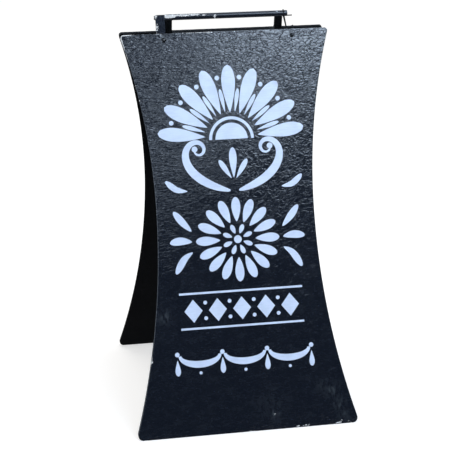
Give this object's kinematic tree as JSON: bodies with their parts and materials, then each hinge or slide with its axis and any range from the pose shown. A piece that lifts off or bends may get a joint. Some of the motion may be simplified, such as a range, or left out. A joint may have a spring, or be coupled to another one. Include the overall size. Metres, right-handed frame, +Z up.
{
  "type": "a-frame sign",
  "caption": "Folding a-frame pavement sign: waisted, black-painted plywood boards that hang from a round handle bar and are held apart by folding stays.",
  "frame": {"origin": "on the ground, midway between the feet of the two boards and midway between their sides", "axes": "+Z up, +Y from the front board towards the rear board, +X to the right of somebody who faces the front board"},
  "size_m": [0.6002, 0.6844, 1.0838],
  "materials": {
    "board_paint": "black paint brushed over a pale undercoat, stippled, semi-gloss, chipped along the arrises",
    "bar_paint": "black paint on a round hardwood bar, worn through to the pale undercoat",
    "strap_paint": "the board's black paint brushed over flat steel and bolt heads",
    "zinc_plate": "dull bright zinc plate, slightly scuffed",
    "dark_steel": "old bare steel, darkened",
    "wire_steel": "blackened tie wire"
  },
  "bodies": {
    "rear_leg": {"rear_board": "board_paint", "handle_yoke": "board_paint", "yoke_screws": "zinc_plate", "handle_bar": "bar_paint", "bar_screws": "zinc_plate", "pivot_screw": "dark_steel", "keeper_nail": "dark_steel", "left_rear_bracket": "zinc_plate", "right_rear_bracket": "zinc_plate", "rear_bracket_screws": "zinc_plate", "left_rear_pivot": "zinc_plate", "right_rear_pivot": "zinc_plate"},
    "front_leg": {"front_board": "board_paint", "hinge_strap": "strap_paint", "strap_screw": "zinc_plate", "face_bolts": "strap_paint", "bolt_washers": "dark_steel", "bolt_nuts": "dark_steel", "tie_wire": "wire_steel", "left_front_bracket": "zinc_plate", "right_front_bracket": "zinc_plate", "front_bracket_screws": "zinc_plate", "left_front_pivot": "zinc_plate", "right_front_pivot": "zinc_plate"},
    "front_stay_left": {"left_front_stay": "zinc_plate", "left_knee_rivet": "zinc_plate", "left_knee_spacer": "zinc_plate"},
    "front_stay_right": {"right_front_stay": "zinc_plate", "right_knee_rivet": "zinc_plate", "right_knee_spacer": "zinc_plate"},
    "rear_stay_left": {"left_rear_stay": "zinc_plate", "left_knee_cap": "zinc_plate"},
    "rear_stay_right": {"right_rear_stay": "zinc_plate", "right_knee_cap": "zinc_plate"}
  },
  "joints": [
    {"name": "fold", "type": "hinge", "parent": "rear_leg", "child": "front_leg", "pos_m": [0, 0, 1.07291], "axis": [1, 0, 0], "range_deg": [0, 33.4]},
    {"name": "front_stay_left_turn", "type": "hinge", "parent": "front_leg", "child": "front_stay_left", "pos_m": [0, -0.17242, 0.49822], "axis": [1, 0, 0], "range_deg": [-106.7, 0]},
    {"name": "front_stay_right_turn", "type": "hinge", "parent": "front_leg", "child": "front_stay_right", "pos_m": [0, -0.17242, 0.49822], "axis": [1, 0, 0], "range_deg": [-106.7, 0]},
    {"name": "rear_stay_left_turn", "type": "hinge", "parent": "rear_leg", "child": "rear_stay_left", "pos_m": [0, 0.17242, 0.49822], "axis": [1, 0, 0], "range_deg": [0, 106.7]},
    {"name": "rear_stay_right_turn", "type": "hinge", "parent": "rear_leg", "child": "rear_stay_right", "pos_m": [0, 0.17242, 0.49822], "axis": [1, 0, 0], "range_deg": [0, 106.7]}
  ],
  "couplings": [
    {"joint": "front_stay_left_turn", "follows": "fold", "ratio": -3.1946},
    {"joint": "front_stay_right_turn", "follows": "fold", "ratio": -3.1946},
    {"joint": "rear_stay_left_turn", "follows": "fold", "ratio": 3.1946},
    {"joint": "rear_stay_right_turn", "follows": "fold", "ratio": 3.1946}
  ]
}
